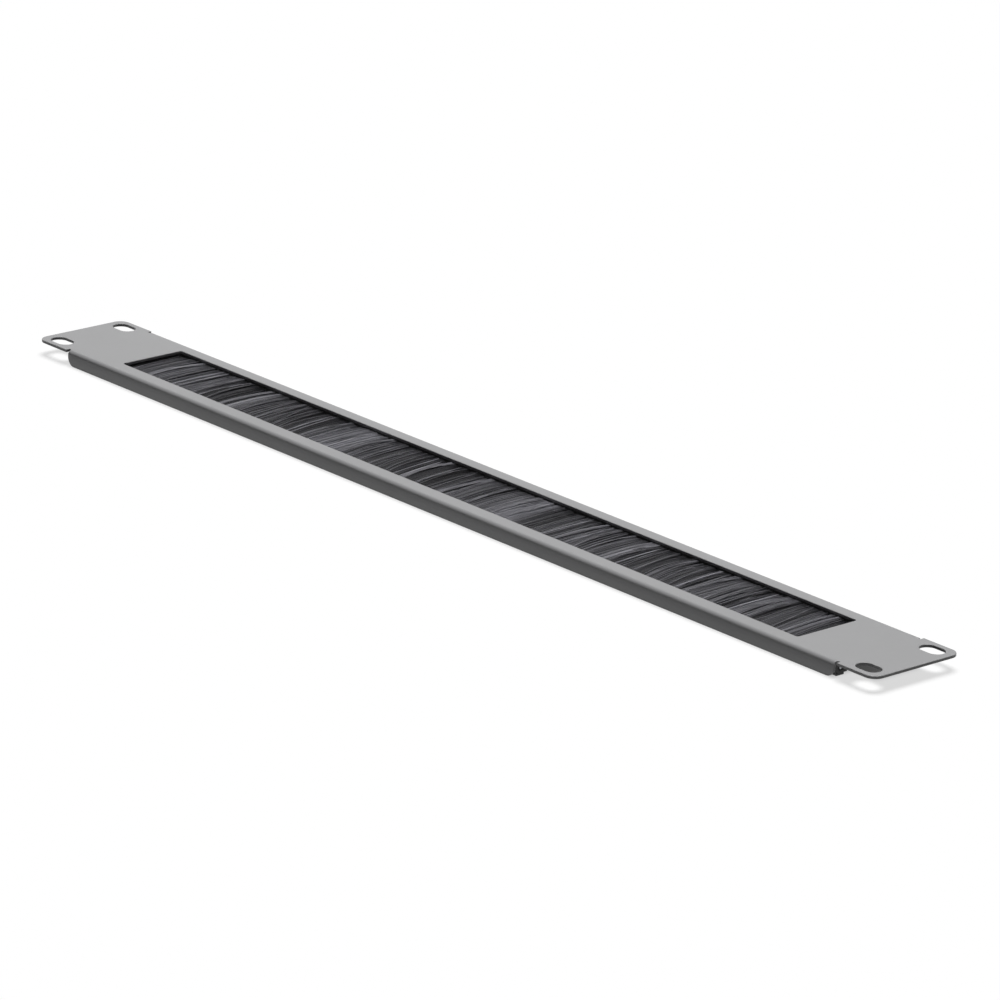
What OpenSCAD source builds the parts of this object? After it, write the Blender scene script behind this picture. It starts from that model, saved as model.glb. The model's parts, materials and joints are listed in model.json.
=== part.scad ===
// Rack brush strip panel, one rack unit high.
// The panel lies face up on the free edges of its two flanges. X runs along the rack width,
// Y across the height of the panel and Z from the flange edges up to the painted face.
// The brush strip is carried along the near flange and its bristles reach across the window.

/* [Panel] */
// Overall width across both ears
panel_w = 482.6; // [470:0.2:490]
// Overall height of the face
panel_h = 43.9; // [43:0.1:46]
// Overall depth from the face to the flange edges
panel_d = 6.3; // [6:0.1:12]
// Thickness of the folded sheet
sheet_t = 1.2; // [1:0.05:1.4]
// Outside radius of the two folds
fold_r = 1.8; // [1.5:0.1:2.8]
// Length of an ear, from its end to the flanges
ear_len = 20.2; // [16:0.1:24]
// Radius of the free corners of the flanges
flange_corner_r = 3.8; // [1:0.1:4.8]
// Radius of the four ear corners
ear_corner_r = 4.5; // [1:0.1:6]
// Width of the relief notch beside each flange end
relief_w = 1.2; // [0.6:0.1:2]

/* [Window] */
// Width of the cable window
window_w = 389.6; // [300:0.2:400]
// Height of the cable window
window_h = 29.7; // [24:0.1:30]
// Shift of the window towards the far edge of the face
window_shift = 0.45; // [0:0.05:1.2]
// Radius of the window corners
window_corner_r = 0.8; // [0.4:0.1:3]

/* [Rack slots] */
// Distance from the end of an ear to its slot centres
slot_inset = 8.75; // [8:0.05:10]
// Spacing of the slot centres across the face
slot_pitch_y = 31.75; // [30:0.05:33]
// Overall length of a slot
slot_l = 10.7; // [8:0.1:11]
// Width of a slot
slot_w = 6.9; // [5.5:0.1:7.2]

/* [Brush strip] */
// Distance that the strip and its rail stop short of the flange ends
strip_inset = 0.5; // [0:0.1:10]
// Outside thickness of the channel, across the sheet of bristles
channel_t = 4; // [3.6:0.1:4.2]
// Outside depth of the channel, from its closed back to its mouth
channel_d = 5.4; // [4.8:0.1:5.6]
// Wall of the crimped channel
channel_wall = 0.7; // [0.5:0.05:0.8]
// Outside radius of the channel's two back corners
channel_back_r = 1; // [0.8:0.05:1.2]
// Amount that each lip of the mouth is crimped inwards
lip_crimp = 0.2; // [0.1:0.05:0.3]
// Radius of the mouth's outer edges
lip_r = 0.4; // [0.2:0.05:0.5]
// Diameter of the wire that the bristles are folded over
wire_d = 1; // [0.8:0.05:1.2]
// Clearance between the bristles and the metal that grips them
grip_gap = 0.04; // [0.02:0.01:0.06]
// Parting between the upper and the lower leg of the folded bristles
leg_gap = 0.12; // [0.05:0.01:0.3]

/* [Bristles] */
// Distance that the pack runs out of the mouth before it parts into tufts
root_run = 0.5; // [0.2:0.1:3]
// Distance from the bristle tips to the far edge of the window
tip_gap = 0.2; // [0.1:0.1:4]
// Most that a tip falls short of the longest ones
tip_spread = 1.2; // [0:0.1:3]
// Mean width of a tuft
tuft_pitch = 9.3; // [7:0.1:14]
// Width of the gap between two tufts at their tips
tuft_gap = 0.9; // [0.2:0.1:1.4]
// Unevenness of the tuft widths
width_spread = 2.4; // [0:0.1:2.6]
// Distance that the tips of a tuft lean towards -X
tuft_lean = 1.3; // [-2:0.1:3]
// Variation of the lean from tuft to tuft
lean_spread = 2.4; // [0:0.1:2.6]
// Distance that the middle of a tuft bows towards -X
tuft_bow = 0.9; // [-2:0.1:2]
// Variation of the bow from tuft to tuft
bow_spread = 0.9; // [0:0.1:1.2]

/* [Retaining rail] */
// Thickness of the rail's sheet
rail_t = 0.8; // [0.6:0.05:0.9]
// Width of the rail's floor, from the flange to its toe
rail_floor_w = 4.6; // [3.5:0.1:5.5]
// Inside radius of the rail's fold
rail_fold_r = 0.3; // [0.2:0.05:0.6]
// Clearance between the rail's wall and the inside of the panel's fold
rail_fold_gap = 0.2; // [0.1:0.1:0.6]
// Clearance between the strip and the metal around it
strip_gap = 0.03; // [0.02:0.01:0.06]

/* [Hidden] */
$fn = 48;
over = 1;                                           // how far a cutter passes through its face

face_z = panel_d - sheet_t;                         // underside of the face
flange_len = panel_w - 2 * ear_len;
strip_len = flange_len - 2 * strip_inset;
slot_pitch_x = panel_w - 2 * slot_inset;
flange_in_y = -panel_h / 2 + sheet_t;               // inner side of the near flange
fold_y = panel_h / 2 - fold_r;                      // where a fold starts, from the middle
fold_z = panel_d - fold_r;                          // where a fold ends on the flange

strip_top_z = face_z - strip_gap;
strip_bottom_z = strip_top_z - channel_t;
strip_mid_z = strip_top_z - channel_t / 2;
channel_back_y = flange_in_y + rail_t + strip_gap;
channel_mouth_y = channel_back_y + channel_d;
cavity_r = channel_t / 2 - channel_wall;
cavity_y = channel_back_y + channel_wall + cavity_r;
mouth_half = cavity_r - lip_crimp;

rail_floor_z = strip_bottom_z - strip_gap;          // top of the rail's floor
rail_top_z = fold_z - rail_fold_gap;
rail_fold_out = rail_fold_r + rail_t;

tip_y = window_shift + window_h / 2 - tip_gap;
tuft_root_y = channel_mouth_y + root_run;
tuft_len = tip_y - tuft_root_y;
tuft_count = floor(strip_len / tuft_pitch);
leg_t = mouth_half - grip_gap - leg_gap / 2;
edge_steps = 4;                                     // straight pieces along one side of a tuft
tip_teeth = 7;                                      // uneven points across the end of a tuft
UPPER = 0;
LOWER = 1;

// A rectangle with round corners, centred on the origin
module rounded_rect(w, h, r) {
    square([w - 2 * r, h], center = true);
    square([w, h - 2 * r], center = true);
    for (sx = [-1, 1], sy = [-1, 1])
        translate([sx * (w / 2 - r), sy * (h / 2 - r)]) circle(r);
}

// A slot with round ends, centred on the origin and lying along X
module slot_shape(l, w) {
    square([l - w, w], center = true);
    for (s = [-1, 1]) translate([s * (l - w) / 2, 0]) circle(w / 2);
}

// Extrudes a shape drawn in Y and Z to both sides of the middle, along X
module along_x(l) {
    rotate([90, 0, 90]) linear_extrude(l, center = true) children();
}

// The face with its ears, window and slots, cut back where the folds begin
module face_shape() {
    fold_run = flange_len + 2 * relief_w;
    difference() {
        rounded_rect(panel_w, panel_h, ear_corner_r);
        for (s = [-1, 1])
            translate([0, s * (fold_y + fold_r / 2 + over / 2)])
                square([fold_run, fold_r + over], center = true);
        translate([0, window_shift]) rounded_rect(window_w, window_h, window_corner_r);
        for (sx = [-1, 1], sy = [-1, 1])
            translate([sx * slot_pitch_x / 2, sy * slot_pitch_y / 2]) slot_shape(slot_l, slot_w);
    }
}

// One fold and its flange in Y and Z, drawn for the far side
module flange_section() {
    translate([fold_y, fold_z]) intersection() {
        difference() {
            circle(fold_r);
            circle(fold_r - sheet_t);
        }
        square(fold_r);
    }
    translate([panel_h / 2 - sheet_t, 0]) square([sheet_t, fold_z]);
}

// The material outside the round free corner at the +X end of a flange, in X and Z
module corner_waste() {
    r = flange_corner_r;
    difference() {
        translate([-r, -over]) square([r + over, r + over]);
        translate([-r, r]) circle(r);
    }
}

module flange() {
    difference() {
        along_x(flange_len) flange_section();
        for (s = [0, 1])
            mirror([s, 0, 0])
                translate([flange_len / 2, panel_h / 2 + over, 0])
                    rotate([90, 0, 0]) linear_extrude(fold_r + 2 * over) corner_waste();
    }
}

module front_panel() {
    color([0.56, 0.56, 0.57]) {
        translate([0, 0, face_z]) linear_extrude(sheet_t) face_shape();
        for (s = [0, 1]) mirror([0, s, 0]) flange();
    }
}

// The channel's cavity in Y and Z: round at the back and pinched towards the mouth
module cavity_shape(gap, reach) {
    translate([cavity_y, strip_mid_z]) {
        circle(cavity_r - gap);
        translate([0, gap - mouth_half]) square([reach - cavity_y, 2 * (mouth_half - gap)]);
    }
}

module channel_shape() {
    r = channel_back_r;
    translate([channel_back_y, strip_bottom_z]) {
        translate([r, 0]) square([channel_d - r - lip_r, channel_t]);
        translate([0, r]) square([channel_d - lip_r, channel_t - 2 * r]);
        translate([channel_d - 2 * lip_r, lip_r]) square([2 * lip_r, channel_t - 2 * lip_r]);
        for (z = [r, channel_t - r]) translate([r, z]) circle(r);
        for (z = [lip_r, channel_t - lip_r]) translate([channel_d - lip_r, z]) circle(lip_r);
    }
}

module brush_channel() {
    color([0.2, 0.2, 0.21])
        along_x(strip_len) difference() {
            channel_shape();
            cavity_shape(0, channel_mouth_y + over);
        }
}

module core_wire() {
    color([0.5, 0.5, 0.52])
        translate([0, cavity_y, strip_mid_z]) rotate([0, 90, 0])
            cylinder(h = strip_len, d = wire_d, center = true);
}

// A number from -1 to 1 that looks unordered as k goes up by one
function uneven(k, kind) = sin(23.7 * k * k + 91 * k + 57 * kind);

// The parting between tufts k - 1 and k: its root, its lean to the tips and its bow half way
function parting_root(leg, k) =
    -strip_len / 2 + (k + leg / 2) * strip_len / (tuft_count + leg / 2)
    + width_spread * uneven(k, 1 + 9 * leg);
function parting_lean(leg, k) =
    -tuft_lean + lean_spread * (uneven(k, 2 + 9 * leg) + uneven(k + 1, 2 + 9 * leg)) / 2;
function parting_bow(leg, k) = -tuft_bow + bow_spread * uneven(k, 3 + 9 * leg);
function parting_x(leg, k, t) =
    parting_root(leg, k) + parting_lean(leg, k) * t + parting_bow(leg, k) * sin(180 * t);

// Where a parting opens, as a share of the free length
function parting_start(leg, k) = 0.3 + 0.24 * uneven(k, 4 + 9 * leg);

// A point on one side of a parting: side -1 is its left and 1 its right
function parting_point(leg, k, side, t) =
    let (t0 = parting_start(leg, k), open = tuft_gap / 2 * (t - t0) / (1 - t0))
    [parting_x(leg, k, t) + side * open, tuft_root_y + t * tuft_len];

function parting_side(leg, k, side) = [
    for (i = [1 : edge_steps])
        let (t0 = parting_start(leg, k))
        parting_point(leg, k, side, t0 + (1 - t0) * i / edge_steps)
];

function reversed(list) = [for (i = [len(list) - 1 : -1 : 0]) list[i]];

// The uneven end of tuft k, between its two partings or an end of the strip
function tuft_tip(leg, k) =
    let (a = k == 0 ? -strip_len / 2 : parting_point(leg, k, 1, 1)[0],
         b = k == tuft_count - 1 ? strip_len / 2 : parting_point(leg, k + 1, -1, 1)[0])
    [for (i = [1 : tip_teeth])
        let (drop = tip_spread * abs(uneven(k * tip_teeth + i, 5 + 9 * leg)))
        [a + (b - a) * i / (tip_teeth + 1), tip_y - drop]];

// The outline of one leg of the bristles: a comb of bowed tufts on a common root
function comb(leg) = concat(
    [[-strip_len / 2, tuft_root_y], [-strip_len / 2, tip_y]],
    tuft_tip(leg, 0),
    [for (k = [1 : tuft_count - 1]) each concat(
        reversed(parting_side(leg, k, -1)),
        [parting_point(leg, k, 1, parting_start(leg, k))],
        parting_side(leg, k, 1),
        tuft_tip(leg, k))],
    [[strip_len / 2, tip_y], [strip_len / 2, tuft_root_y]]);

module bristle_leg(leg) {
    z = leg == UPPER ? strip_mid_z + leg_gap / 2 : strip_mid_z - leg_gap / 2 - leg_t;
    translate([0, 0, z]) linear_extrude(leg_t) polygon(comb(leg));
}

module bristles() {
    color([0.16, 0.16, 0.18]) {
        along_x(strip_len) difference() {
            cavity_shape(grip_gap, tuft_root_y);
            translate([cavity_y, strip_mid_z]) circle(wire_d / 2 + grip_gap);
        }
        bristle_leg(UPPER);
        bristle_leg(LOWER);
    }
}

// The rail in Y and Z: a wall against the near flange and a floor under the channel
module rail_shape() {
    translate([flange_in_y, rail_floor_z - rail_t]) {
        translate([rail_fold_out, 0]) square([rail_floor_w - rail_fold_out, rail_t]);
        translate([0, rail_fold_out])
            square([rail_t, rail_top_z - rail_floor_z + rail_t - rail_fold_out]);
        translate([rail_fold_out, rail_fold_out]) intersection() {
            difference() {
                circle(rail_fold_out);
                circle(rail_fold_r);
            }
            translate([-rail_fold_out, -rail_fold_out]) square(rail_fold_out);
        }
    }
}

module retaining_rail() {
    color([0.2, 0.2, 0.21]) along_x(strip_len) rail_shape();
}

front_panel();
retaining_rail();
brush_channel();
core_wire();
bristles();
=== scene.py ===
"""Looks of the rack brush strip panel, built round its solids and laid out as an add-on."""

import json
import math

import bmesh
import bpy
import numpy as np
from bpy.props import FloatProperty, FloatVectorProperty, IntProperty, PointerProperty
from mathutils import Matrix, Vector


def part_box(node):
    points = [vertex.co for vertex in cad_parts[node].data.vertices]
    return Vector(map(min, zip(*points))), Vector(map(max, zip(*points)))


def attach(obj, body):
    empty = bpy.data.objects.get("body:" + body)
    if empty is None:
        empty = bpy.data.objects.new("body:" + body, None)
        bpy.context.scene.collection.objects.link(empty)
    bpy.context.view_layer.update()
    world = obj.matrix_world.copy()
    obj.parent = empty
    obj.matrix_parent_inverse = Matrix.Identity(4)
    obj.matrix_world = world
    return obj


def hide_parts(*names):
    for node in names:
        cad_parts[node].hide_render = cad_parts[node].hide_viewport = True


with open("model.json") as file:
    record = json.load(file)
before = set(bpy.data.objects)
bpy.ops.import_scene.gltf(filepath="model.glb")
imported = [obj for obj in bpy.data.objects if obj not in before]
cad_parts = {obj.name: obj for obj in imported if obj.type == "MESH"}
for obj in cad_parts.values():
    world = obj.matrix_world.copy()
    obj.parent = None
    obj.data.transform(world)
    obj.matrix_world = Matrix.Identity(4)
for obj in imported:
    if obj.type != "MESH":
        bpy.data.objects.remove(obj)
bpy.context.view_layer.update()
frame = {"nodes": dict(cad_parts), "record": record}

bl_info = {
    "name": "Rack Brush Strip Panel",
    "version": (1, 0, 0),
    "blender": (4, 5, 0),
    "location": "View3D > Sidebar > Brush Panel",
    "description": "Builds a folded rack panel with a strip brush across its cable window",
    "category": "Add Mesh",
}

MM = 0.001
PANEL_LOW, PANEL_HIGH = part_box("front_panel")
CHANNEL_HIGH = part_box("brush_channel")[1]
BRISTLE_LOW, BRISTLE_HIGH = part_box("bristles")
WIRE_LOW, WIRE_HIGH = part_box("core_wire")
SLOTS = next(m for m in frame["record"]["mounts"] if m["name"] == "rack_slots")["dims"]
UPPER, LOWER = 0, 1

SLACK = 1e-6                  # metres by which two places may differ and still be the same
ALONG = 0.999                 # least cosine of an edge that counts as straight along an axis
TURNED = 0.9                  # least cosine of a face that counts as turned a given way
Z_AXIS = 2
CUTTER_HEIGHT = 8 * MM        # of the cutters that pass through the face

# Inputs and outputs of a mix node, which go by number because their names repeat.
FLOAT_A, FLOAT_B, COLOUR_A, COLOUR_B = 2, 3, 6, 7
FLOAT_OUT, COLOUR_OUT = 0, 2


def length(name, description, default, **limits):
    """A length property in metres, shown in the scene's units."""
    return FloatProperty(
        name=name, description=description, default=default,
        unit="LENGTH", subtype="DISTANCE", precision=5, **limits)


def share(name, description, default):
    """A plain factor from 0 to 1."""
    return FloatProperty(
        name=name, description=description, default=default, min=0.0, max=1.0, subtype="FACTOR")


def colour(name, description, default):
    """A linear colour."""
    return FloatVectorProperty(
        name=name, description=description, default=default, size=3, min=0.0, max=1.0,
        subtype="COLOR")


class SheetSettings(bpy.types.PropertyGroup):
    """Sizes of the folded panel."""
    thickness: length("Sheet thickness", "Thickness of the folded steel", 1.2 * MM)
    fold_r: length("Fold radius", "Outside radius of the two folds", 1.8 * MM)
    ear_length: length("Ear length", "From the end of an ear to the flanges", 20.2 * MM)
    relief: length("Relief notch", "Width of the notch beside each flange end", 1.2 * MM)
    ear_corner_r: length("Ear corner radius", "Radius of the four ear corners", 4.5 * MM)
    flange_corner_r: length("Flange corner radius", "Radius of the free flange corners", 3.8 * MM)
    window_width: length("Window width", "Width of the cable window", 389.6 * MM)
    window_height: length("Window height", "Height of the cable window", 29.7 * MM)
    window_shift: length("Window shift", "Shift of the window to the far side", 0.45 * MM)
    window_corner_r: length("Window corner radius", "Radius of the window corners", 0.8 * MM)
    edge_r: length("Edge softness", "Radius that the coat gives to cut edges", 0.25 * MM)


class BristleSettings(bpy.types.PropertyGroup):
    """Make-up of the bristle pack."""
    diameter: length("Filament diameter", "Diameter of one nylon filament", 0.22 * MM)
    per_mm: FloatProperty(
        name="Filaments per mm", description="Filaments of one leg per millimetre of strip",
        default=27.0, min=1.0)
    tufts: IntProperty(
        name="Tufts", description="Tufts along the strip in one leg", default=47, min=2)
    width_spread: length("Width spread", "Unevenness of the tuft widths", 2.4 * MM)
    gap: length("Tip gap", "Gap between two tufts at their tips", 0.9 * MM)
    lean: length("Lean", "How far the tips lean towards -X", 1.3 * MM)
    lean_spread: length("Lean spread", "Variation of the lean", 2.4 * MM)
    bow: length("Bow", "How far the middle of a tuft bows towards -X", 0.9 * MM)
    bow_spread: length("Bow spread", "Variation of the bow", 0.9 * MM)
    reach: length("Reach", "How far the longest tips pass under the far edge", 0.6 * MM)
    tip_spread: length("Tip spread", "Most that a tip falls short", 1.0 * MM)
    relief: length("Relief", "How far one side of a tuft rises over its neighbour", 0.8 * MM)
    flare: share("Flare", "How far the pack thickens towards its tips", 0.35)
    curl: length("Curl", "How far a wisp curls aside at its tip", 2.4 * MM)
    gather: share("Gather", "How far filaments draw together into locks at their tips", 0.7)
    strays: share("Strays", "Share of the top filaments that lie loose", 0.05)
    free_half: length(
        "Free half", "Half the run of tufts that stand clear of the window's ends", 188.0 * MM)
    seed: IntProperty(name="Seed", description="Seed of the random lie of filaments", default=11)


class FinishSettings(bpy.types.PropertyGroup):
    """Colours of the finishes, as linear values."""
    coat: colour("Powder coat", "Colour of the panel", (0.29, 0.29, 0.295))
    # Near black, a real coat that also stands in for the shade at the strip's open ends.
    rail: colour("Rail coat", "Colour of the retaining rail", (0.02, 0.02, 0.021))
    zinc: colour("Zinc plating", "Colour of the strip metal", (0.52, 0.53, 0.55))
    nylon: colour("Nylon", "Colour of the bristles", (0.08, 0.0793, 0.087))


class StageSettings(bpy.types.PropertyGroup):
    """Camera, light and floor."""
    azimuth: FloatProperty(
        name="Azimuth", description="Direction of the view round the panel",
        default=math.radians(47.83), unit="ROTATION", subtype="ANGLE")
    elevation: FloatProperty(
        name="Elevation", description="Height of the view over the floor",
        default=math.radians(18.80), unit="ROTATION", subtype="ANGLE")
    roll: FloatProperty(
        name="Roll", description="Turn of the camera about its own axis",
        default=math.radians(2.32), unit="ROTATION", subtype="ANGLE")
    distance: length("Distance", "From the camera to the point that it looks at", 2.3694)
    lens: FloatProperty(
        name="Lens", description="Focal length on a 36 mm sensor", default=225.5, unit="CAMERA")
    sun: FloatProperty(name="Overhead light", description="Strength of the soft sun", default=3.05)
    ambient: FloatProperty(name="Ambient", description="Strength of the fill light", default=0.03)
    floor: colour("Floor", "Colour of the floor", (0.95, 0.95, 0.95))


SETTINGS = {
    "brush_sheet": SheetSettings,
    "brush_bristles": BristleSettings,
    "brush_finish": FinishSettings,
    "brush_stage": StageSettings,
}


# ---------------------------------------------------------------- mesh tools

def only(obj):
    """Leaves obj as the one selected and active object."""
    bpy.ops.object.select_all(action="DESELECT")
    obj.select_set(True)
    bpy.context.view_layer.objects.active = obj


def keep_transform(obj):
    """Moves the object's place and size into its mesh."""
    only(obj)
    bpy.ops.object.transform_apply(location=True, rotation=True, scale=True)


def add_block(name, low, high):
    """A block between two corners, as a start for edit-mode work."""
    low, high = Vector(low), Vector(high)
    bpy.ops.object.select_all(action="DESELECT")
    bpy.ops.mesh.primitive_cube_add(size=1.0, location=(low + high) / 2, scale=high - low)
    obj = bpy.context.object
    obj.name = obj.data.name = name
    keep_transform(obj)
    return obj


def add_rod(name, centre, radius, depth, axis, sides=96):
    """A cylinder whose axis is Y or Z."""
    turn = {"Y": (math.pi / 2, 0, 0), "Z": (0, 0, 0)}[axis]
    bpy.ops.object.select_all(action="DESELECT")
    bpy.ops.mesh.primitive_cylinder_add(
        vertices=sides, radius=radius, depth=depth, location=centre, rotation=turn)
    obj = bpy.context.object
    obj.name = name
    keep_transform(obj)
    return obj


def pick(kind, test):
    """Selects the faces or edges of the mesh in edit mode that pass the test."""
    obj = bpy.context.edit_object
    bpy.ops.mesh.select_all(action="DESELECT")
    bpy.ops.mesh.select_mode(type={"faces": "FACE", "edges": "EDGE"}[kind])
    mesh = bmesh.from_edit_mesh(obj.data)
    mesh.normal_update()
    chosen = [item for item in getattr(mesh, kind) if test(item)]
    for item in chosen:
        item.select_set(True)
    bmesh.update_edit_mesh(obj.data)
    if not chosen:
        raise RuntimeError(f"{obj.name}: nothing to select among its {kind}")


def middle(item):
    """The middle of a face or an edge."""
    points = [v.co for v in item.verts]
    return sum(points, Vector()) / len(points)


def extrude(x=0.0, y=0.0, z=0.0):
    """Draws the selected faces out by one step."""
    bpy.ops.mesh.extrude_region_move(TRANSFORM_OT_translate={"value": (x, y, z)})


def close_up(gap=0.001 * MM):
    """Merges doubled points and turns all faces of the mesh in edit mode outwards."""
    bpy.ops.mesh.select_all(action="SELECT")
    bpy.ops.mesh.remove_doubles(threshold=gap)
    bpy.ops.mesh.normals_make_consistent(inside=False)


def runs_along(edge, axis):
    """Whether the edge is straight along axis 0, 1 or 2."""
    way = edge.verts[1].co - edge.verts[0].co
    return abs(way[axis]) > ALONG * way.length


def cut(obj, cutter):
    """Takes the cutter's volume out of obj and removes the cutter."""
    only(obj)
    step = obj.modifiers.new("Cut", "BOOLEAN")
    step.operation = "DIFFERENCE"
    step.solver = "EXACT"
    step.object = cutter
    bpy.ops.object.modifier_apply(modifier=step.name)
    bpy.data.objects.remove(cutter)


def join(objects, name):
    """Joins loose parts of one piece into one object."""
    only(objects[0])
    for obj in objects[1:]:
        obj.select_set(True)
    bpy.ops.object.join()
    objects[0].name = objects[0].data.name = name
    return objects[0]


def soften(obj, radius, angle=math.radians(35)):
    """Rounds the sharp edges a little and smooths the rest, with flat faces kept flat."""
    only(obj)
    bpy.ops.object.shade_smooth_by_angle(angle=angle)
    step = obj.modifiers.new("Soft edges", "BEVEL")
    step.width = radius
    step.segments = 2
    step.limit_method = "ANGLE"
    step.angle_limit = angle
    step.harden_normals = True
    step.loop_slide = False
    step.use_clamp_overlap = False
    bpy.ops.object.modifier_apply(modifier=step.name)


def dress(obj, material, body="root"):
    """Gives a piece its material and sets it on its body."""
    obj.data.materials.clear()
    obj.data.materials.append(material)
    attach(obj, body)


# ---------------------------------------------------------------- materials

def arithmetic(nodes, links, operation, *terms):
    """One step of arithmetic on sockets or plain numbers."""
    step = nodes.new("ShaderNodeMath")
    step.operation = operation
    for place, term in zip(step.inputs, terms):
        if isinstance(term, (int, float)):
            place.default_value = term
        else:
            links.new(term, place)
    return step.outputs[0]


def smooth_step(nodes, links, value, low, high):
    """A soft mask that goes from 0 where the value is at low to 1 where it is at high."""
    levels = nodes.new("ShaderNodeMapRange")
    levels.interpolation_type = "SMOOTHSTEP"
    levels.inputs["From Min"].default_value = low
    levels.inputs["From Max"].default_value = high
    links.new(value, levels.inputs["Value"])
    return levels.outputs["Result"]


def value_group(name, inputs, build):
    """A shader node group that turns object coordinates into one mask, made once."""
    if name in bpy.data.node_groups:
        return bpy.data.node_groups[name]
    group = bpy.data.node_groups.new(name, "ShaderNodeTree")
    group.interface.new_socket("Vector", in_out="INPUT", socket_type="NodeSocketVector")
    for label, default in inputs.items():
        socket = group.interface.new_socket(label, in_out="INPUT", socket_type="NodeSocketFloat")
        socket.default_value = default
    group.interface.new_socket("Mask", in_out="OUTPUT", socket_type="NodeSocketFloat")
    start = group.nodes.new("NodeGroupInput")
    end = group.nodes.new("NodeGroupOutput")
    group.links.new(build(group, start), end.inputs["Mask"])
    return group


def grain_group():
    """Even pebbled grain: a fine noise laid over a coarser one."""
    coarseness = 0.22

    def build(group, start):
        nodes, links = group.nodes, group.links
        fine_scale = start.outputs["Scale"]
        coarse_scale = arithmetic(nodes, links, "MULTIPLY", fine_scale, coarseness)
        blend = nodes.new("ShaderNodeMix")
        blend.data_type = "FLOAT"
        links.new(start.outputs["Coarse share"], blend.inputs["Factor"])
        for scale, layer in ((fine_scale, FLOAT_A), (coarse_scale, FLOAT_B)):
            noise = nodes.new("ShaderNodeTexNoise")
            links.new(start.outputs["Vector"], noise.inputs["Vector"])
            links.new(scale, noise.inputs["Scale"])
            links.new(noise.outputs["Fac"], blend.inputs[layer])
        return blend.outputs[FLOAT_OUT]

    return value_group("Pebble grain", {"Scale": 2000.0, "Coarse share": 0.4}, build)


def cloud_group():
    """Slow soft variation, such as the lie of a coat or handling haze."""
    def build(group, start):
        noise = group.nodes.new("ShaderNodeTexNoise")
        noise.inputs["Detail"].default_value = 4.0
        noise.inputs["Roughness"].default_value = 0.6
        group.links.new(start.outputs["Vector"], noise.inputs["Vector"])
        group.links.new(start.outputs["Scale"], noise.inputs["Scale"])
        return smooth_step(group.nodes, group.links, noise.outputs["Fac"], low=0.3, high=0.7)

    return value_group("Soft clouds", {"Scale": 12.0}, build)


def new_material(name):
    """A material with its nodes, links, Principled shader and object coordinates."""
    material = bpy.data.materials.new(name)
    material.use_nodes = True
    nodes, links = material.node_tree.nodes, material.node_tree.links
    shader = nodes["Principled BSDF"]
    place = nodes.new("ShaderNodeTexCoord").outputs["Object"]
    return material, nodes, links, shader, place


def add_mask(nodes, links, group, vector, **inputs):
    """The mask of a node group, whose inputs are given by name with _ for a space."""
    node = nodes.new("ShaderNodeGroup")
    node.node_tree = group
    links.new(vector, node.inputs["Vector"])
    for label, value in inputs.items():
        node.inputs[label.replace("_", " ")].default_value = value
    return node.outputs["Mask"]


def stretched(nodes, links, vector, scale):
    """Coordinates squeezed along some axes, for grain that runs one way."""
    mapping = nodes.new("ShaderNodeMapping")
    mapping.inputs["Scale"].default_value = scale
    links.new(vector, mapping.inputs["Vector"])
    return mapping.outputs["Vector"]


def ramp_value(nodes, links, mask, low, high):
    """A mask turned into numbers from low to high."""
    levels = nodes.new("ShaderNodeMapRange")
    levels.inputs["To Min"].default_value = low
    levels.inputs["To Max"].default_value = high
    links.new(mask, levels.inputs["Value"])
    return levels.outputs["Result"]


def ramp_colour(nodes, links, mask, low, high):
    """A mask turned into colours from low to high."""
    blend = nodes.new("ShaderNodeMix")
    blend.data_type = "RGBA"
    blend.inputs[COLOUR_A].default_value = (*low, 1.0)
    blend.inputs[COLOUR_B].default_value = (*high, 1.0)
    links.new(mask, blend.inputs["Factor"])
    return blend.outputs[COLOUR_OUT]


def add_bump(nodes, links, shader, height, strength, distance):
    """Lets a mask stand out from the surface as fine relief."""
    bump = nodes.new("ShaderNodeBump")
    bump.inputs["Strength"].default_value = strength
    bump.inputs["Distance"].default_value = distance
    links.new(height, bump.inputs["Height"])
    links.new(bump.outputs["Normal"], shader.inputs["Normal"])


def scaled(rgb, factor):
    """A colour made lighter or darker, each part held to 1 at most."""
    return tuple(min(1.0, c * factor) for c in rgb)


def powder_coat(name, rgb):
    """Satin powder coat with a fine orange-peel surface."""
    material, nodes, links, shader, place = new_material(name)
    grain = add_mask(nodes, links, grain_group(), place, Scale=2600.0, Coarse_share=0.35)
    clouds = add_mask(nodes, links, cloud_group(), place, Scale=14.0)
    tint = ramp_colour(nodes, links, clouds, low=scaled(rgb, 0.97), high=scaled(rgb, 1.03))
    gloss = ramp_value(nodes, links, grain, low=0.3, high=0.4)
    links.new(tint, shader.inputs["Base Color"])
    links.new(gloss, shader.inputs["Roughness"])
    shader.inputs["IOR"].default_value = 1.5
    shader.inputs["Specular IOR Level"].default_value = 0.4
    add_bump(nodes, links, shader, grain, strength=0.25, distance=0.03 * MM)
    return material


def zinc_plate(rgb):
    """Zinc plated steel strip, drawn along its length."""
    material, nodes, links, shader, place = new_material("zinc_plate")
    along = stretched(nodes, links, place, (0.04, 1.0, 1.0))
    streaks = add_mask(nodes, links, grain_group(), along, Scale=3200.0, Coarse_share=0.5)
    clouds = add_mask(nodes, links, cloud_group(), place, Scale=60.0)
    tint = ramp_colour(nodes, links, clouds, low=scaled(rgb, 0.9), high=scaled(rgb, 1.06))
    gloss = ramp_value(nodes, links, streaks, low=0.3, high=0.5)
    links.new(tint, shader.inputs["Base Color"])
    links.new(gloss, shader.inputs["Roughness"])
    shader.inputs["Metallic"].default_value = 1.0
    add_bump(nodes, links, shader, streaks, strength=0.2, distance=0.02 * MM)
    return material


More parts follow.
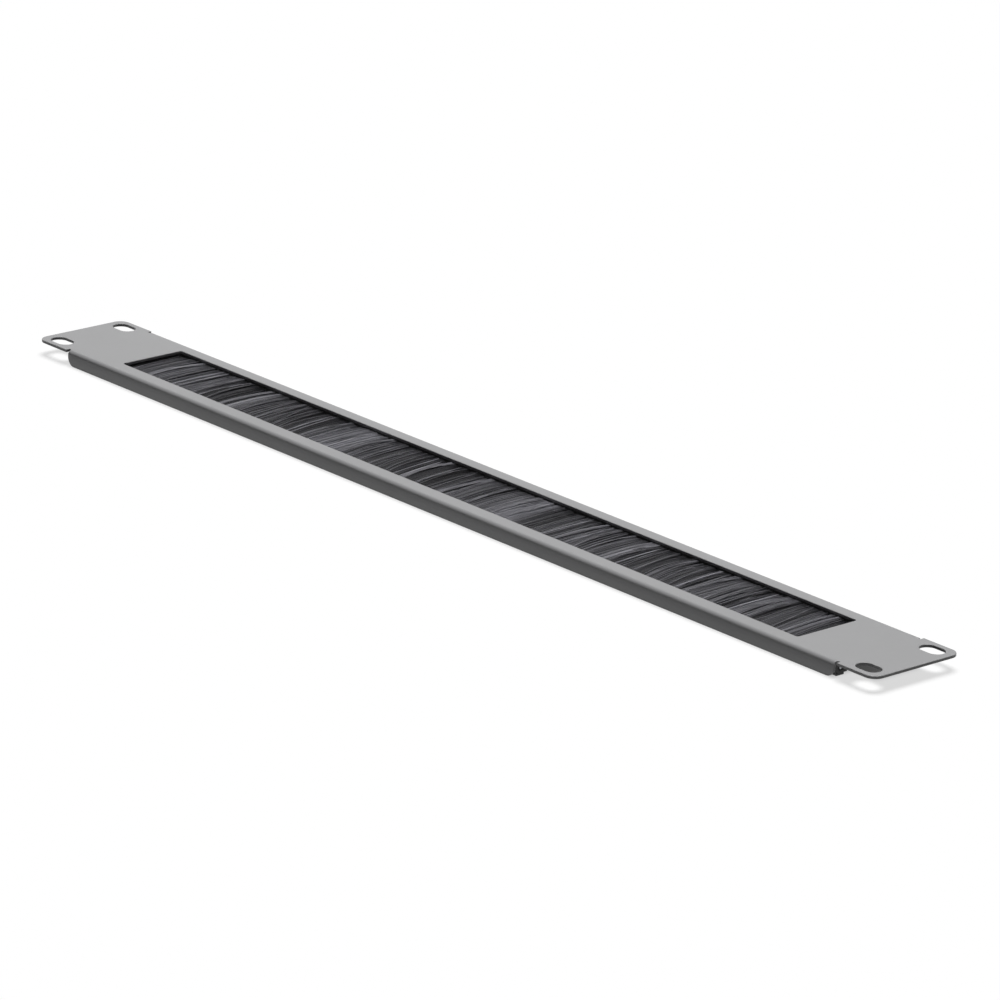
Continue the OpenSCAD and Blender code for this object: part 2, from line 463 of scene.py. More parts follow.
def nylon_filament(rgb):
    """Black nylon, a little different in each tuft and filament, and lightened by painted sheen,
    highlights and glints.
    """
    material, nodes, links, shader, place = new_material("nylon_filament")
    tone = nodes.new("ShaderNodeAttribute")
    tone.attribute_name = "tone"
    # The light end of this ramp carries the painted sheen, highlights and glints.
    tint = ramp_colour(
        nodes, links, tone.outputs["Fac"], low=scaled(rgb, 0.22), high=scaled(rgb, 8.6))
    fine = add_mask(nodes, links, grain_group(), place, Scale=5000.0, Coarse_share=0.3)
    gloss = ramp_value(nodes, links, fine, low=0.28, high=0.45)
    links.new(tint, shader.inputs["Base Color"])
    links.new(gloss, shader.inputs["Roughness"])
    shader.inputs["IOR"].default_value = 1.53
    shader.inputs["Specular IOR Level"].default_value = 0.15
    return material


# ---------------------------------------------------------------- the folded panel

def fold_flange(sheet, side):
    """Spins one long side of the face down round its fold and draws out the flange."""
    fold_y = PANEL_HIGH.y - sheet.fold_r
    fold_z = PANEL_HIGH.z - sheet.fold_r
    pick("faces", lambda f: middle(f).y * side > fold_y - SLACK)
    bpy.ops.mesh.spin(
        steps=14, angle=math.pi / 2, center=(0, side * fold_y, fold_z), axis=(side, 0, 0))
    extrude(z=PANEL_LOW.z - fold_z)
    close_up()


def draw_ear(sheet, side):
    """Draws an ear out of one end of the face: a neck between the reliefs, then all its height."""
    fold_y = PANEL_HIGH.y - sheet.fold_r
    neck_x = PANEL_HIGH.x - sheet.ear_length + sheet.relief
    pick("faces", lambda f: f.normal.x * side > TURNED and abs(middle(f).y) < fold_y / 2)
    extrude(x=side * sheet.relief)
    extrude(x=side * (sheet.ear_length - sheet.relief))
    for edge in (-1, 1):
        pick("faces", lambda f: f.normal.y * edge > TURNED and middle(f).x * side > neck_x)
        extrude(y=edge * sheet.fold_r)


def slot_cutter(x, y, z):
    """A rod drawn out into a slot that runs along X."""
    radius = SLOTS["hole_r_mm"] * MM
    reach = (SLOTS["slot_length_mm"] * MM) / 2 - radius
    cutter = add_rod("slot_cutter", (x, y, z), radius, CUTTER_HEIGHT, "Z")
    bpy.ops.object.mode_set(mode="EDIT")
    bpy.ops.mesh.select_all(action="DESELECT")
    mesh = bmesh.from_edit_mesh(cutter.data)
    for end in (-1, 1):
        moved = [v for v in mesh.verts if (v.co.x - x) * end > SLACK]
        bmesh.ops.translate(mesh, verts=moved, vec=(end * reach, 0, 0))
    bmesh.update_edit_mesh(cutter.data)
    bpy.ops.object.mode_set(mode="OBJECT")
    return cutter


def window_cutter(sheet):
    """A block with round upright edges, through the face."""
    half = Vector((sheet.window_width / 2, sheet.window_height / 2, CUTTER_HEIGHT / 2))
    centre = Vector((0, sheet.window_shift, PANEL_HIGH.z))
    cutter = add_block("window_cutter", centre - half, centre + half)
    bpy.ops.object.mode_set(mode="EDIT")
    pick("edges", lambda e: runs_along(e, Z_AXIS))
    bpy.ops.mesh.bevel(offset=sheet.window_corner_r, segments=8, profile=0.5)
    bpy.ops.object.mode_set(mode="OBJECT")
    return cutter


def corner_cutter(sheet, side):
    """The waste outside the round corners of both flanges at one end."""
    r = sheet.flange_corner_r
    end_x = side * (PANEL_HIGH.x - sheet.ear_length)
    inner_x = end_x - side * r
    over = 2 * MM
    low = (min(inner_x, end_x + side * over), PANEL_LOW.y - over, PANEL_LOW.z - over)
    high = (max(inner_x, end_x + side * over), PANEL_HIGH.y + over, PANEL_LOW.z + r)
    cutter = add_block("corner_cutter", low, high)
    rod = add_rod(
        "corner_rod", (inner_x, 0, PANEL_LOW.z + r), r, 2 * high[1] + over, "Y", sides=160)
    cut(cutter, rod)
    return cutter


class BRUSHPANEL_OT_panel_sheet(bpy.types.Operator):
    """Model the folded panel: face, ears, flanges, slots and window"""
    bl_idname = "brushpanel.panel_sheet"
    bl_label = "Folded Panel"
    bl_options = {"REGISTER", "UNDO"}

    def execute(self, context):
        sheet = context.scene.brush_sheet
        face_z = PANEL_HIGH.z - sheet.thickness
        fold_y = PANEL_HIGH.y - sheet.fold_r
        flange_x = PANEL_HIGH.x - sheet.ear_length
        panel = add_block(
            "panel_sheet", (-flange_x, -fold_y, face_z), (flange_x, fold_y, PANEL_HIGH.z))
        bpy.ops.object.mode_set(mode="EDIT")
        for side in (-1, 1):
            fold_flange(sheet, side)
        for side in (-1, 1):
            draw_ear(sheet, side)
        close_up()
        bpy.ops.mesh.dissolve_limited(angle_limit=math.radians(0.5))
        ear_x = PANEL_HIGH.x - sheet.ear_corner_r
        pick("edges", lambda e: runs_along(e, Z_AXIS) and abs(middle(e).x) > ear_x)
        bpy.ops.mesh.bevel(offset=sheet.ear_corner_r, segments=14, profile=0.5)
        bpy.ops.object.mode_set(mode="OBJECT")

        # All the waste goes in one cut, so that no cut crosses an edge that another left.
        slot_x = SLOTS["spacing_x_mm"] / 2 * MM
        slot_y = SLOTS["spacing_y_mm"] / 2 * MM
        waste = [window_cutter(sheet)] + [corner_cutter(sheet, side) for side in (-1, 1)]
        waste += [slot_cutter(x, y, face_z) for x in (-slot_x, slot_x) for y in (-slot_y, slot_y)]
        cut(panel, join(waste, "waste"))
        bpy.ops.object.mode_set(mode="EDIT")
        close_up(gap=0.02 * MM)
        bpy.ops.object.mode_set(mode="OBJECT")
        soften(panel, sheet.edge_r)
        dress(panel, powder_coat("panel_coat", context.scene.brush_finish.coat))
        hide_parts("front_panel")
        return {"FINISHED"}


# ---------------------------------------------------------------- the bristles

# Each use of uneven() has a kind of its own or reads one at another rate.
WIDTH, LEAN, BOW, OPENING, TOOTH, LOCKS, SHINGLE, SHINE = range(1, 9)
STREAK, EDGE, LOCK_LIE, WISP = 2, 3, 4, 4
KINDS_PER_LEG = 9

OPENING_START, OPENING_SPREAD = 0.3, 0.24   # where on its way to the tips a parting opens

ROOT_BACK = 0.8 * MM          # from the mouth of the channel back to the roots
SIDE_JITTER = 0.1 * MM        # how far a tip usually lies from its place in the lock
LOCK_STEP = 7                 # keeps the locks of one tuft apart from the next tuft's
TEETH_PER_TUFT = 8            # steps of the ragged tips
TOOTH_FALL, OWN_FALL = 0.4, 0.6             # shares of the fall of a tip

# The bright places are painted sheen: the nylon's colour is made lighter there, as if those tufts
# caught the light.
BRIGHT_MIDDLE = 22            # the tuft that the brighter places lie round
BRIGHT_TURN = 0.582           # radians per tuft of the wave that spaces these places
BRIGHT_START = 15.8           # the tuft at a crest of that wave
BRIGHT_GAIN = 1.7             # height of the crests, cut off at 1
SOME_SHINE = 0.25             # how bright other tufts get

SWELL_RUN = 0.7               # share of a half wave that the pack swells in
SHINGLE_MEAN, SHINGLE_SPREAD = 0.6, 0.4     # how much one side of a tuft rises
SHINGLE_SINK = 0.35           # how far the other side of it lies low
LOCK_RISE, SHINE_RISE = 0.25, 0.25          # shares of the relief
COVERED_SINK = 0.45 * MM      # how much lower the pack lies beyond the window's ends
COVERED_RUN = 5 * MM          # length in which it comes down

# Tones go from 0, dark, to 1, bright. The first is what all have, and the next five add to it:
# sheen and edge tones are painted highlights, while lock, streak and jitter tones are random.
DARK_TONE, PAINTED_SHEEN_TONE, EDGE_HIGHLIGHT_TONE = 0.055, 0.42, 0.15
LOCK_TONE, STREAK_TONE, TONE_JITTER = 0.04, 0.04, 0.025
# Straight locks, wisps and strays take these tones as painted glints.
STRAIGHT_GLINT_TONE, LOOSE_GLINT_TONE = 0.7, 0.4        # in place of what the sum gives

# Which filaments are edges with a painted highlight, straight locks, wisps and strays: how many
# places there are in a tuft, the least uneven() of such a place, and how far out in the leg, from
# 0 at its middle to 1, the filament must lie. Edges begin at a share of the way across their tuft
# instead.
EDGE_FROM, EDGE_ABOVE, EDGE_DEPTH = 0.955, 0.1, 0.7
STREAKS_PER_TUFT, STRAIGHT_ABOVE, STRAIGHT_DEPTH = 23, 0.998, 0.5
WISPS_PER_TUFT, WISP_ABOVE, WISP_DEPTH = 6, 0.985, 0.55
STRAY_DEPTH = 0.85
STRAY_DRIFT = 1.6 * MM        # how far aside a stray's tip usually lies
STRAY_RUN = 0.8               # share of a half wave that a stray arches in
STRAIGHT_RISE, WISP_RISE, STRAY_RISE = 0.3 * MM, 0.4 * MM, 0.3 * MM     # out of the pack

GRIP_GAP = 0.04 * MM          # between the fold of the pack and its wire
FOLD_BACK = 0.4 * MM          # from the mouth of the channel back to the fold's ends


def uneven(k, kind):
    """A number from -1 to 1 that looks unordered as k goes up by one, the same in the solids."""
    return np.sin(np.radians(23.7 * k * k + 91 * k + 57 * kind))


class Partings:
    """Where one leg of the pack parts into tufts, as in the solids."""

    def __init__(self, settings, leg):
        kinds = self.kinds = KINDS_PER_LEG * leg
        self.count = settings.tufts
        self.k = np.arange(self.count + 1, dtype=float)
        strip = BRISTLE_HIGH.x - BRISTLE_LOW.x
        step = strip / (self.count + leg / 2)
        self.root = BRISTLE_LOW.x + (self.k + leg / 2) * step \
            + settings.width_spread * uneven(self.k, WIDTH + kinds)
        self.lean = -settings.lean + settings.lean_spread * (
            uneven(self.k, LEAN + kinds) + uneven(self.k + 1, LEAN + kinds)) / 2
        self.bow = -settings.bow + settings.bow_spread * uneven(self.k, BOW + kinds)
        self.start = OPENING_START + OPENING_SPREAD * uneven(self.k, OPENING + kinds)
        self.gap = np.full(self.count + 1, settings.gap)
        for end, x in ((0, BRISTLE_LOW.x), (self.count, BRISTLE_HIGH.x)):
            self.root[end] = x
            self.lean[end] = self.bow[end] = self.gap[end] = 0.0

    def side(self, k, side, t):
        """X of one side of parting k, a share t of the way to the tips."""
        opened = np.clip((t - self.start[k]) / (1 - self.start[k]), 0, 1) * self.gap[k] / 2
        bend = self.lean[k] * t + self.bow[k] * np.sin(np.pi * t)
        return self.root[k] + bend + side * opened


def model_filament(rings):
    """One short three-sided filament, drawn out along Y and rounded off at its tip."""
    bpy.ops.object.select_all(action="DESELECT")
    bpy.ops.mesh.primitive_circle_add(
        vertices=3, radius=1.0, fill_type="NGON", rotation=(-math.pi / 2, 0, 0))
    filament = bpy.context.object
    keep_transform(filament)
    bpy.ops.object.mode_set(mode="EDIT")
    bpy.ops.mesh.select_all(action="SELECT")
    for _ in range(rings - 1):
        extrude(y=1.0)
    bpy.ops.transform.resize(value=(0.55, 1.0, 0.55))
    bpy.ops.mesh.select_all(action="SELECT")
    bpy.ops.mesh.normals_make_consistent(inside=False)
    bpy.ops.object.mode_set(mode="OBJECT")
    return filament


def lay_filaments(name, master, rings, places, radius, tone):
    """Copies the master filament along each path in places, shaped (filaments, rings, 3)."""
    shape = np.array([v.co for v in master.data.vertices], float)
    ring = np.rint(shape[:, 1]).astype(int)
    faces = [list(p.vertices) for p in master.data.polygons]
    count, per = len(places), len(shape)
    points = places[:, ring, :]
    points[:, :, 0] += shape[None, :, 0] * radius
    points[:, :, 2] += shape[None, :, 2] * radius
    offsets = (np.arange(count) * per)[:, None]
    loops = np.concatenate(faces)
    sizes = np.array([len(f) for f in faces])
    mesh = bpy.data.meshes.new(name)
    mesh.vertices.add(count * per)
    mesh.vertices.foreach_set("co", points.astype(np.float32).ravel())
    mesh.loops.add(count * len(loops))
    mesh.loops.foreach_set("vertex_index", (loops[None, :] + offsets).astype(np.int32).ravel())
    starts = np.concatenate([[0], np.cumsum(sizes)[:-1]])
    mesh.polygons.add(count * len(faces))
    every = (starts[None, :] + (np.arange(count) * len(loops))[:, None]).astype(np.int32)
    mesh.polygons.foreach_set("loop_start", every.ravel())
    mesh.update(calc_edges=True)
    layer = mesh.attributes.new("tone", "FLOAT", "POINT")
    layer.data.foreach_set("value", np.repeat(tone, per).astype(np.float32))
    mesh.shade_smooth()
    mesh.validate()
    obj = bpy.data.objects.new(name, mesh)
    bpy.context.scene.collection.objects.link(obj)
    return obj


def painted_sheen(partings, k, u):
    """How much painted sheen a place u across tuft k gets, lighter colour for catching the light:
    two near the middle get most.
    """
    some = np.clip(uneven(k + 1.0, SHINE + partings.kinds), 0, 1) ** 2
    near_middle = np.cos(np.pi * (k + u - BRIGHT_MIDDLE) / partings.count) ** 4
    wave = np.clip(np.cos(BRIGHT_TURN * (k + u - BRIGHT_START)), 0, 1) ** 8
    glint = BRIGHT_GAIN * near_middle * wave
    return np.clip(np.maximum(some * SOME_SHINE, glint), 0, 1)


def filament_paths(settings, leg, low_x, high_x, rings, random):
    """Paths and tones of the filaments of one leg between two places along the strip; the tones
    carry painted sheen, highlights and glints besides random tone.
    """
    partings = Partings(settings, leg)
    kinds = partings.kinds
    count = int((high_x - low_x) / MM * settings.per_mm)
    root = np.sort(low_x + (high_x - low_x) * random.random(count))
    k = np.clip(np.searchsorted(partings.root, root) - 1, 0, partings.count - 1)
    u = (root - partings.root[k]) / (partings.root[k + 1] - partings.root[k])
    t = np.linspace(0, 1, rings)[None, :]
    arch = np.sin(np.pi * t)

    # Within a tuft the filaments gather into three to five locks, each with a bow of its own.
    locks = 3 + np.rint(2 * np.abs(uneven(k + 1.0, LOCKS + kinds)))
    lock = np.floor(u * locks)
    own = uneven(LOCK_STEP * k + lock, LOCK_LIE + kinds)
    pull = settings.gather * np.sin(2 * np.pi * locks * u) / (2 * np.pi * locks)
    across = u[:, None] + pull[:, None] * t
    left = partings.side(k[:, None], 1, t)
    right = partings.side(k[:, None] + 1, -1, t)
    inside = np.sin(np.pi * u)[:, None]
    x = left + (right - left) * across
    x = x + settings.bow_spread * inside * own[:, None] * arch
    x = x + random.normal(0, SIDE_JITTER, count)[:, None] * t ** 1.5

    root_y = CHANNEL_HIGH.y - ROOT_BACK
    tooth = np.abs(uneven(np.floor((k + u) * TEETH_PER_TUFT), TOOTH + kinds))
    fall = settings.tip_spread * (
        TOOTH_FALL * tooth ** 2 + OWN_FALL * random.random(count) ** 3)
    y = root_y + (BRISTLE_HIGH.y + settings.reach - fall - root_y)[:, None] * t

    # The upper leg swells like shingles between the window's ends, and the lower one is even.
    bright = painted_sheen(partings, k, u)
    middle_z = (BRISTLE_LOW.z + BRISTLE_HIGH.z) / 2
    half = (BRISTLE_HIGH.z - BRISTLE_LOW.z) / 2 - settings.diameter / 2
    depth = random.random(count) ** 0.7
    spread = (half * depth)[:, None] * (1 + settings.flare * t)
    if leg == UPPER:
        swell = np.sin(np.pi * np.clip(t * SWELL_RUN, 0, 1))
        shingle = (SHINGLE_MEAN + SHINGLE_SPREAD * uneven(k + 1.0, SHINGLE)) * (
            u ** 2 - SHINGLE_SINK)
        ridge = LOCK_RISE * own * np.sin(np.pi * ((u * locks) % 1.0))
        rise = settings.relief * (shingle + ridge + SHINE_RISE * bright)
        covered = np.clip((np.abs(x) - settings.free_half) / COVERED_RUN, 0, 1)
        z = middle_z + spread
        z = z + (rise * depth)[:, None] * swell - COVERED_SINK * depth[:, None] * swell * covered
    else:
        z = middle_z - spread

    streak = uneven(np.floor((k + u) * STREAKS_PER_TUFT), STREAK)
    # Painted sheen lightens the tone here, over the random tone of locks, streaks and filaments.
    tone = DARK_TONE + PAINTED_SHEEN_TONE * bright + LOCK_TONE * own + STREAK_TONE * streak \
        + random.normal(0, TONE_JITTER, count)
    # The light side edge of some tufts is a painted highlight.
    edge = (u > EDGE_FROM) & (uneven(k + 1.0, EDGE) > EDGE_ABOVE) & (depth > EDGE_DEPTH)
    tone = np.where(edge, tone + EDGE_HIGHLIGHT_TONE, tone)

    def on_top(least):
        """Filaments of the upper leg that lie higher in it than the least depth."""
        return (depth > least) & (leg == UPPER)

    # Single locks lie straight across the bow of their tuft, painted bright as glints.
    straight = (streak > STRAIGHT_ABOVE) & on_top(STRAIGHT_DEPTH)
    chord = x[:, :1] + (x[:, -1:] - x[:, :1]) * t
    x = np.where(straight[:, None], chord, x)
    z = z + (STRAIGHT_RISE * straight)[:, None] * arch
    tone = np.where(straight, STRAIGHT_GLINT_TONE, tone)

    # Wisps curl aside at the tips, and strays lie loose on top of the pack; both are painted light
    # as glints.
    wisp = (uneven(np.floor((k + u) * WISPS_PER_TUFT), WISP) > WISP_ABOVE) & on_top(WISP_DEPTH)
    x = x + (settings.curl * wisp)[:, None] * t ** 3
    z = z + (WISP_RISE * wisp)[:, None] * t ** 2
    tone = np.where(wisp, LOOSE_GLINT_TONE, tone)
    stray = (random.random(count) < settings.strays) & on_top(STRAY_DEPTH)
    drift = random.normal(0, STRAY_DRIFT, count) * stray
    x = x + drift[:, None] * t ** 2
    z = z + (STRAY_RISE * stray)[:, None] * np.sin(np.pi * t * STRAY_RUN)
    tone = np.where(stray, LOOSE_GLINT_TONE, tone)

    z = np.clip(z, PANEL_LOW.z + settings.diameter, CHANNEL_HIGH.z - settings.diameter)
    x = np.clip(x, BRISTLE_LOW.x + settings.diameter, BRISTLE_HIGH.x - settings.diameter)
    return np.stack([x, y, z], axis=2), np.clip(tone, 0, 1)


def model_fold():
    """The fold of the pack round its wire, between the walls of the channel."""
    wire_r = (WIRE_HIGH.z - WIRE_LOW.z) / 2
    wire_y = (WIRE_LOW.y + WIRE_HIGH.y) / 2
    middle_z = (WIRE_LOW.z + WIRE_HIGH.z) / 2
    outer = wire_y - BRISTLE_LOW.y
    inner = wire_r + GRIP_GAP
    mouth_y = CHANNEL_HIGH.y - FOLD_BACK
    fold = add_block(
        "bristle_fold", (BRISTLE_LOW.x, wire_y, middle_z + inner),
        (BRISTLE_HIGH.x, mouth_y, middle_z + (BRISTLE_HIGH.z - BRISTLE_LOW.z) / 2))
    bpy.ops.object.mode_set(mode="EDIT")
    pick("faces", lambda f: f.normal.y < -TURNED)
    bpy.ops.mesh.spin(
        steps=16, angle=math.pi, center=(0, wire_y, middle_z), axis=(-1, 0, 0))
    extrude(y=mouth_y - wire_y)
    close_up()
    bpy.ops.object.mode_set(mode="OBJECT")
    return fold


class BRUSHPANEL_OT_bristles(bpy.types.Operator):
    """Lay the nylon filaments, tuft by tuft, in the two legs of the pack"""
    bl_idname = "brushpanel.bristles"
    bl_label = "Bristles"
    bl_options = {"REGISTER", "UNDO"}

    def execute(self, context):
        settings = context.scene.brush_bristles
        random = np.random.default_rng(settings.seed)
        rings = 6
        master = model_filament(rings)
        nylon = nylon_filament(context.scene.brush_finish.nylon)
        stretches = (
            ("bristles_upper_left", UPPER, BRISTLE_LOW.x, 0.0),
            ("bristles_upper_right", UPPER, 0.0, BRISTLE_HIGH.x),
            ("bristles_lower_left", LOWER, BRISTLE_LOW.x, 0.0),
            ("bristles_lower_right", LOWER, 0.0, BRISTLE_HIGH.x),
        )
        pieces = []
        for name, leg, low_x, high_x in stretches:
            paths, tone = filament_paths(settings, leg, low_x, high_x, rings, random)
            pieces.append(lay_filaments(
                name, master, rings, paths, settings.diameter / 2, tone))
        bpy.data.objects.remove(master)
        fold = model_fold()
        soften(fold, radius=0.1 * MM)
        pieces.append(fold)
        for piece in pieces:
            dress(piece, nylon)
            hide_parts("bristles")
        return {"FINISHED"}


# ---------------------------------------------------------------- the strip metal

class BRUSHPANEL_OT_strip_metal(bpy.types.Operator):
    """Coat the channel and its rail black, and plate the wire"""
    bl_idname = "brushpanel.strip_metal"
    bl_label = "Strip Metal"
    bl_options = {"REGISTER", "UNDO"}

    def execute(self, context):
        finish = context.scene.brush_finish
        zinc = zinc_plate(finish.zinc)
        # The black coat of channel and rail is real and also paints the strip's open ends as dark
        # as the shade under the ears.
        black = powder_coat("rail_coat", finish.rail)
        for node, material in (
                ("brush_channel", black), ("core_wire", zinc), ("retaining_rail", black)):
            solid = frame["nodes"][node]
            solid.data.materials.clear()
            solid.data.materials.append(material)
        return {"FINISHED"}


# ---------------------------------------------------------------- the stage

VIEW_CENTRE = (19.88 * MM, -2.05 * MM)      # place on the face that the camera looks at
CLIP_NEAR, CLIP_FAR = 0.05, 60.0
FLOOR_SIZE, FLOOR_GAP = 24.0, 0.05 * MM     # its side, and how far it lies under the panel
SUN_SPREAD = math.radians(36)
SUN_TURN = (math.radians(-12), math.radians(-10), 0)

# Each zone of painted shade under the panel, where the floor loses its glow and shows dark: where
# it is full and where it ends, in mm inside the panel's outline, along X and then along Y.
PAINTED_SHADE_ZONES = (((29, 19), (1.5, 0)), ((17, 7), (13, 9)))
BESIDE_REACH, BESIDE_GLOW = 2.5 * MM, 0.7   # the glow that the long flanges get from below
# The glow in the open washes out the floor's shadow, and its lack beneath the panel paints shade
# there.
OPEN_GLOW, UNDER_GLOW = 0.68, 0.06          # what the floor gives in the open and underneath
UNSEEN_SHARE, OPEN_SHARE = 0.1, 0.35        # of the floor's colour

# The side of the studio without a white wall, and the ranges over which it sets in.
DARK_WAY = (-0.71, -0.71, 0.0)
DARK_WAY_RANGE, DARK_HEIGHT_RANGE = (0.35, 0.75), (0.55, 0.2)


def seen_directly(nodes, links):
    """1 for rays that show the surface itself: camera, glossy and transmission rays."""
    path = nodes.new("ShaderNodeLightPath")
    total = path.outputs["Is Camera Ray"]
    for label in ("Is Glossy Ray", "Is Transmission Ray"):
        total = arithmetic(nodes, links, "MAXIMUM", total, path.outputs[label])
    return total


def distance_out(nodes, links, axis):
    """How far a point of the floor lies from the middle of the panel, along one axis."""
    where = nodes.new("ShaderNodeSeparateXYZ")
    links.new(nodes.new("ShaderNodeTexCoord").outputs["Object"], where.inputs[0])
    return arithmetic(nodes, links, "ABSOLUTE", where.outputs[axis])


def painted_shade_under_panel(nodes, links):
    """1 well beneath the panel, where no light gets in, and 0 outside; where it is 1 the floor
    loses its glow, which paints shade there.
    """
    zones = []
    for inset_x, inset_y in PAINTED_SHADE_ZONES:
        masks = []
        for axis, far, (inner, outer) in (
                ("X", PANEL_HIGH.x, inset_x), ("Y", PANEL_HIGH.y, inset_y)):
            masks.append(smooth_step(
                nodes, links, distance_out(nodes, links, axis),
                low=far - outer * MM, high=far - inner * MM))
        zones.append(arithmetic(nodes, links, "MULTIPLY", *masks))
    return arithmetic(nodes, links, "MAXIMUM", *zones)


def beside_panel(nodes, links):
    """Glow of the floor close to the long sides, which fills the lower half of each flange."""
    brightest = PANEL_HIGH.y + BESIDE_REACH
    off = arithmetic(nodes, links, "SUBTRACT", distance_out(nodes, links, "Y"), brightest)
    levels = nodes.new("ShaderNodeMapRange")
    levels.inputs["From Max"].default_value = BESIDE_REACH
    levels.inputs["To Min"].default_value = BESIDE_GLOW
    levels.inputs["To Max"].default_value = 0.0
    links.new(arithmetic(nodes, links, "ABSOLUTE", off), levels.inputs["Value"])
    return levels.outputs["Result"]


def floor_material(rgb):
    """A white floor that keeps a soft shadow and throws little light back on the panel; its glow
    washes the shadow out in the open and is taken away beneath the panel, which paints shade
    there.
    """
    material = bpy.data.materials.new("floor_white")
    material.use_nodes = True
    nodes, links = material.node_tree.nodes, material.node_tree.links
    nodes.remove(nodes["Principled BSDF"])
    seen = seen_directly(nodes, links)
    under = painted_shade_under_panel(nodes, links)
    shown = ramp_colour(nodes, links, under, low=scaled(rgb, OPEN_SHARE), high=rgb)
    tint = nodes.new("ShaderNodeMix")
    tint.data_type = "RGBA"
    tint.inputs[COLOUR_A].default_value = (*scaled(rgb, UNSEEN_SHARE), 1.0)
    links.new(shown, tint.inputs[COLOUR_B])
    links.new(seen, tint.inputs["Factor"])
    matte = nodes.new("ShaderNodeBsdfDiffuse")
    links.new(tint.outputs[COLOUR_OUT], matte.inputs["Color"])
    lift = nodes.new("ShaderNodeMix")
    links.new(seen, lift.inputs["Factor"])
    links.new(beside_panel(nodes, links), lift.inputs[FLOAT_A])
    links.new(ramp_value(nodes, links, under, OPEN_GLOW, UNDER_GLOW), lift.inputs[FLOAT_B])
    glow = nodes.new("ShaderNodeEmission")
    links.new(lift.outputs[FLOAT_OUT], glow.inputs["Strength"])
    total = nodes.new("ShaderNodeAddShader")
    links.new(matte.outputs[0], total.inputs[0])
    links.new(glow.outputs[0], total.inputs[1])
    links.new(total.outputs[0], nodes["Material Output"].inputs["Surface"])
    return material


def dark_side(nodes, links):
    """1 low down in front and to the left, where the studio has no white wall, and 0 elsewhere."""
    way = nodes.new("ShaderNodeTexCoord").outputs["Generated"]
    facing = nodes.new("ShaderNodeVectorMath")
    facing.operation = "DOT_PRODUCT"
    facing.inputs[1].default_value = DARK_WAY
    links.new(way, facing.inputs[0])
    height = nodes.new("ShaderNodeSeparateXYZ")
    links.new(way, height.inputs[0])
    return arithmetic(
        nodes, links, "MULTIPLY",
        smooth_step(nodes, links, facing.outputs["Value"], *DARK_WAY_RANGE),
        smooth_step(nodes, links, height.outputs["Z"], *DARK_HEIGHT_RANGE))


def light_world(ambient):
    """White where it is seen or mirrored, and a weak even fill for everything else."""
    world = bpy.data.worlds.new("studio")
    world.use_nodes = True
    bpy.context.scene.world = world
    nodes, links = world.node_tree.nodes, world.node_tree.links
    back = nodes["Background"]
    back.inputs["Color"].default_value = (1.0, 1.0, 1.0, 1.0)
    lit = ramp_value(nodes, links, seen_directly(nodes, links), low=ambient, high=1.0)
    shade = ramp_value(nodes, links, dark_side(nodes, links), low=1.0, high=0.0)
    camera_ray = nodes.new("ShaderNodeLightPath").outputs["Is Camera Ray"]
    kept = arithmetic(nodes, links, "MAXIMUM", shade, camera_ray)
    strength = arithmetic(nodes, links, "MULTIPLY", lit, kept)
    links.new(strength, back.inputs["Strength"])


def place_camera(stage):
    """Sets the camera at its direction, distance and roll round the panel."""
    target = Vector((*VIEW_CENTRE, PANEL_HIGH.z))
    flat = math.cos(stage.elevation)
    back = Vector((
        math.sin(stage.azimuth) * flat, -math.cos(stage.azimuth) * flat,
        math.sin(stage.elevation)))
    right = Vector((0, 0, 1)).cross(back).normalized()
    up = back.cross(right)
    turned_right = math.cos(stage.roll) * right + math.sin(stage.roll) * up
    turned_up = math.cos(stage.roll) * up - math.sin(stage.roll) * right
    data = bpy.data.cameras.new("view")
    data.lens = stage.lens
    data.clip_start, data.clip_end = CLIP_NEAR, CLIP_FAR
    camera = bpy.data.objects.new("view", data)
    bpy.context.scene.collection.objects.link(camera)
    turn = Matrix((turned_right, turned_up, back)).transposed().to_4x4()
    camera.matrix_world = Matrix.Translation(target + back * stage.distance) @ turn
    bpy.context.scene.camera = camera


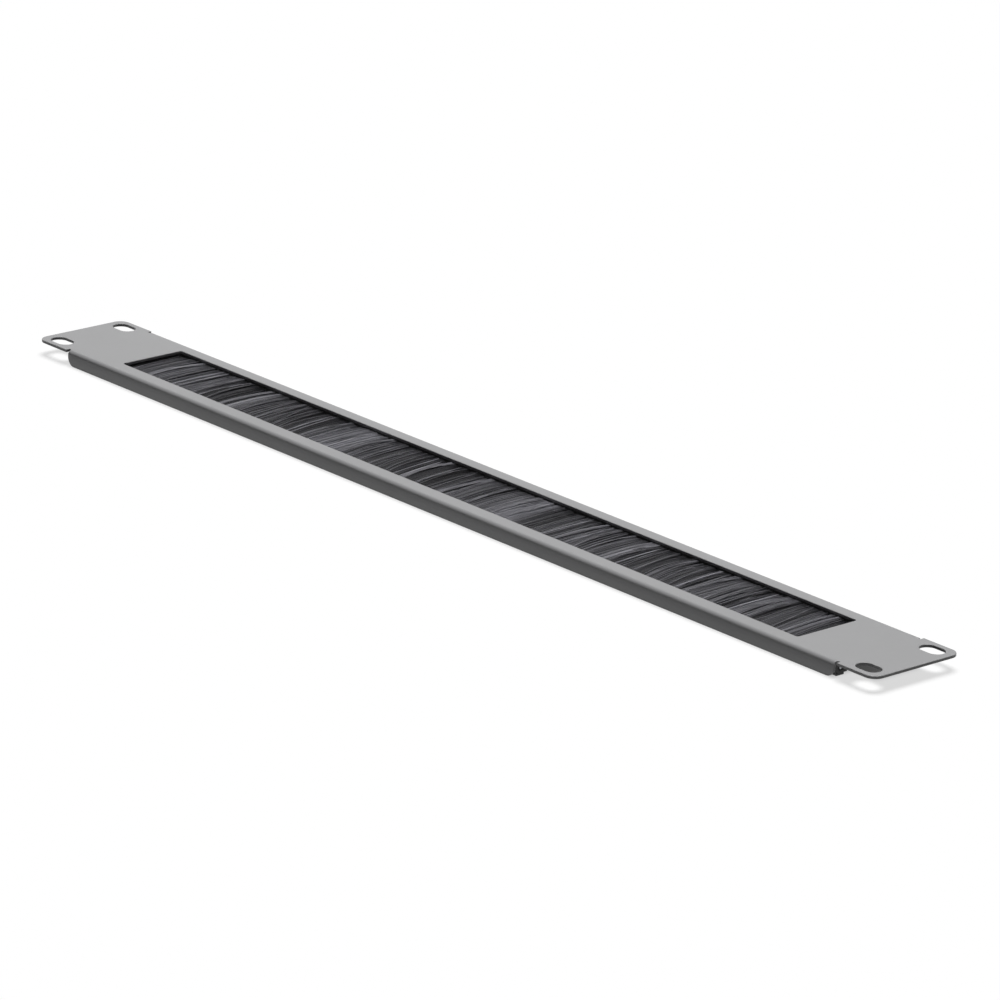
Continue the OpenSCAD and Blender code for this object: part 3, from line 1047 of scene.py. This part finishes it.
class BRUSHPANEL_OT_stage(bpy.types.Operator):
    """Set up the floor, the light and the camera"""
    bl_idname = "brushpanel.stage"
    bl_label = "Stage"
    bl_options = {"REGISTER", "UNDO"}

    def execute(self, context):
        stage = context.scene.brush_stage
        bpy.ops.object.select_all(action="DESELECT")
        bpy.ops.mesh.primitive_plane_add(
            size=FLOOR_SIZE, location=(0, 0, PANEL_LOW.z - FLOOR_GAP))
        floor = context.object
        floor.name = "floor"
        floor.data.materials.append(floor_material(stage.floor))
        sun = bpy.data.lights.new("overhead", "SUN")
        sun.energy = stage.sun
        sun.angle = SUN_SPREAD
        lamp = bpy.data.objects.new("overhead", sun)
        lamp.rotation_euler = SUN_TURN
        context.scene.collection.objects.link(lamp)
        light_world(stage.ambient)
        place_camera(stage)
        context.scene.view_settings.view_transform = "Standard"
        return {"FINISHED"}


OPERATORS = (
    BRUSHPANEL_OT_stage,
    BRUSHPANEL_OT_panel_sheet,
    BRUSHPANEL_OT_bristles,
    BRUSHPANEL_OT_strip_metal,
)


class BRUSHPANEL_PT_sidebar(bpy.types.Panel):
    """Buttons that build the panel piece by piece"""
    bl_idname = "BRUSHPANEL_PT_sidebar"
    bl_label = "Brush Panel"
    bl_space_type = "VIEW_3D"
    bl_region_type = "UI"
    bl_category = "Brush Panel"

    def draw(self, context):
        for operator in OPERATORS:
            self.layout.operator(operator.bl_idname)
        for attribute, group in SETTINGS.items():
            box = self.layout.box()
            for name in group.__annotations__:
                box.prop(getattr(context.scene, attribute), name)


CLASSES = (*SETTINGS.values(), *OPERATORS, BRUSHPANEL_PT_sidebar)


def register():
    for cls in CLASSES:
        bpy.utils.register_class(cls)
    for attribute, group in SETTINGS.items():
        setattr(bpy.types.Scene, attribute, PointerProperty(type=group))


def unregister():
    for attribute in SETTINGS:
        delattr(bpy.types.Scene, attribute)
    for cls in reversed(CLASSES):
        bpy.utils.unregister_class(cls)


def main():
    register()
    bpy.ops.brushpanel.stage()
    bpy.ops.brushpanel.panel_sheet()
    bpy.ops.brushpanel.bristles()
    bpy.ops.brushpanel.strip_metal()


if __name__ == "__main__":
    main()
